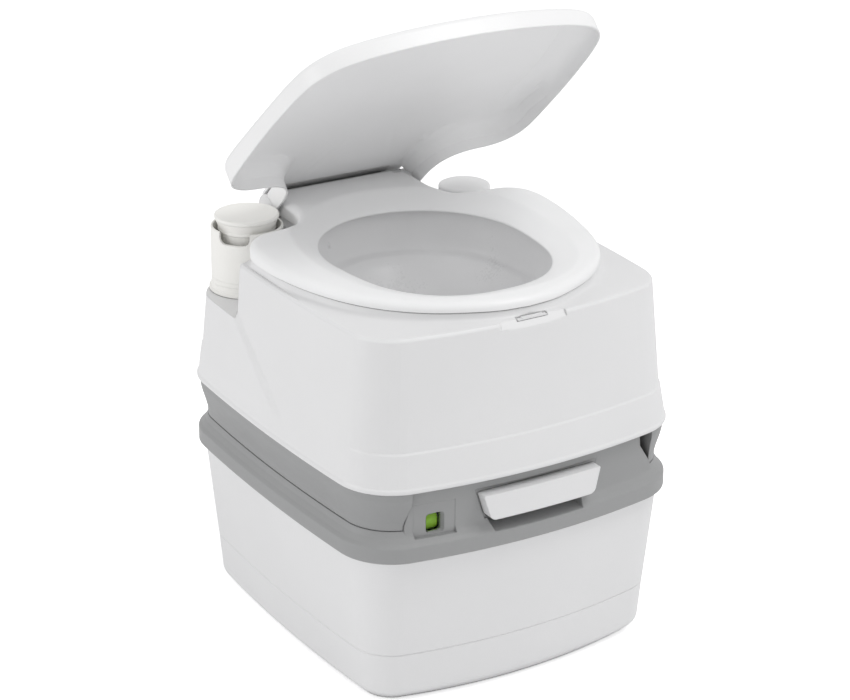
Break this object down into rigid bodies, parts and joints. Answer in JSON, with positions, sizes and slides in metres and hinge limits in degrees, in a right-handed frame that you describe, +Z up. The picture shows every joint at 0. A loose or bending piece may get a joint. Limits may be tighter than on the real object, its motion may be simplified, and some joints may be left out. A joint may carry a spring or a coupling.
{
  "type": "portable camp toilet",
  "caption": "Portable camp toilet: a white flush unit with bowl, hinged seat and lid, pull-up pump and filler cap on a removable waste tank with slide valve, level window and spout.",
  "frame": {"origin": "on the floor, at the centre of the footprint of the flange", "axes": "+Z up, -Y towards the front (the side with the valve handle), +X to the right seen from the front"},
  "size_m": [0.383, 0.43, 0.6577],
  "materials": {
    "white_shell": "glossy moulded polypropylene",
    "seat_white": "satin gloss",
    "bowl_white": "smooth gloss",
    "grey_shell": "satin moulded",
    "ivory_plastic": "satin gloss",
    "inner_plastic": "plain moulded",
    "blade_plastic": "smooth",
    "window": "clear plastic",
    "green_plastic": "bright moulded",
    "rubber": "soft black",
    "steel": "drawn wire and rod"
  },
  "bodies": {
    "waste_tank": {"waste_tank_lower": "white_shell", "waste_tank_upper": "grey_shell", "level_window": "window", "float_pin": "steel", "valve_guide": "inner_plastic", "valve_cover": "inner_plastic", "valve_lip_seal": "rubber", "spout_seal": "rubber", "vent_seal": "rubber", "latch_pin": "steel"},
    "valve": {"valve_blade": "blade_plastic", "valve_handle": "white_shell"},
    "float": {"level_flag": "green_plastic", "float_arm": "ivory_plastic", "float": "ivory_plastic"},
    "spout": {"pour_spout": "inner_plastic"},
    "spout_cap": {"spout_cap": "ivory_plastic", "spout_cap_seal": "rubber"},
    "vent_button": {"vent_button": "ivory_plastic", "vent_spring": "steel"},
    "latch": {"latch": "white_shell"},
    "flush_unit": {"flush_tank_base": "grey_shell", "flush_tank_shell": "white_shell", "lid_catch": "white_shell", "bowl": "bowl_white", "bowl_outlet_seal": "rubber", "hinge_lug_left": "white_shell", "hinge_lug_right": "white_shell", "hinge_pin_left": "steel", "hinge_pin_right": "steel", "pump_collar": "ivory_plastic", "pump_cylinder": "ivory_plastic", "pump_foot_valve": "inner_plastic", "flush_hose": "ivory_plastic", "flush_nozzle": "ivory_plastic"},
    "seat": {"seat": "seat_white"},
    "lid": {"lid": "white_shell"},
    "pump": {"pump_knob": "ivory_plastic", "pump_rod": "ivory_plastic", "pump_piston": "inner_plastic", "pump_piston_seal": "rubber"},
    "fill_cap": {"fill_cap": "white_shell", "fill_cap_seal": "rubber"}
  },
  "joints": [
    {"name": "valve_slide", "type": "slide", "parent": "waste_tank", "child": "valve", "axis": [0, -1, 0], "range_m": [0, 0.105]},
    {"name": "float_turn", "type": "hinge", "parent": "waste_tank", "child": "float", "pos_m": [-0.1108, -0.1752, 0.198], "axis": [1, 0, 0], "range_deg": [0, 24]},
    {"name": "spout_swing", "type": "hinge", "parent": "waste_tank", "child": "spout", "pos_m": [-0.088, 0.168, 0.203], "axis": [0, 0, 1], "range_deg": [0, 90]},
    {"name": "spout_cap_turn", "type": "hinge", "parent": "spout", "child": "spout_cap", "pos_m": [0.048, 0.168, 0.203], "axis": [1, 0, 0], "range_deg": [-270, 0]},
    {"name": "vent_press", "type": "slide", "parent": "waste_tank", "child": "vent_button", "axis": [0, 0, -1], "range_m": [0, 0.003], "stiffness_N_per_m": 800, "springref_m": -0.001, "deforming": ["vent_spring"]},
    {"name": "latch_swing", "type": "hinge", "parent": "waste_tank", "child": "latch", "pos_m": [0.11, 0.206, 0.19], "axis": [1, 0, 0], "range_deg": [-60, 0]},
    {"name": "flush_unit_lift", "type": "slide", "parent": "waste_tank", "child": "flush_unit", "axis": [0, 0, 1], "range_m": [0, 0.12]},
    {"name": "seat_hinge", "type": "hinge", "parent": "flush_unit", "child": "seat", "pos_m": [0, 0.1808, 0.4], "axis": [-1, 0, 0], "range_deg": [0, 90]},
    {"name": "lid_hinge", "type": "hinge", "parent": "seat", "child": "lid", "pos_m": [0, 0.1808, 0.4], "axis": [-1, 0, 0], "range_deg": [-42.5, 50]},
    {"name": "pump_pull", "type": "slide", "parent": "flush_unit", "child": "pump", "axis": [0, 0, 1], "range_m": [0, 0.03]},
    {"name": "fill_cap_turn", "type": "hinge", "parent": "flush_unit", "child": "fill_cap", "pos_m": [0.1375, 0.149, 0.388], "axis": [0, 0, 1], "range_deg": [0, 120]}
  ]
}
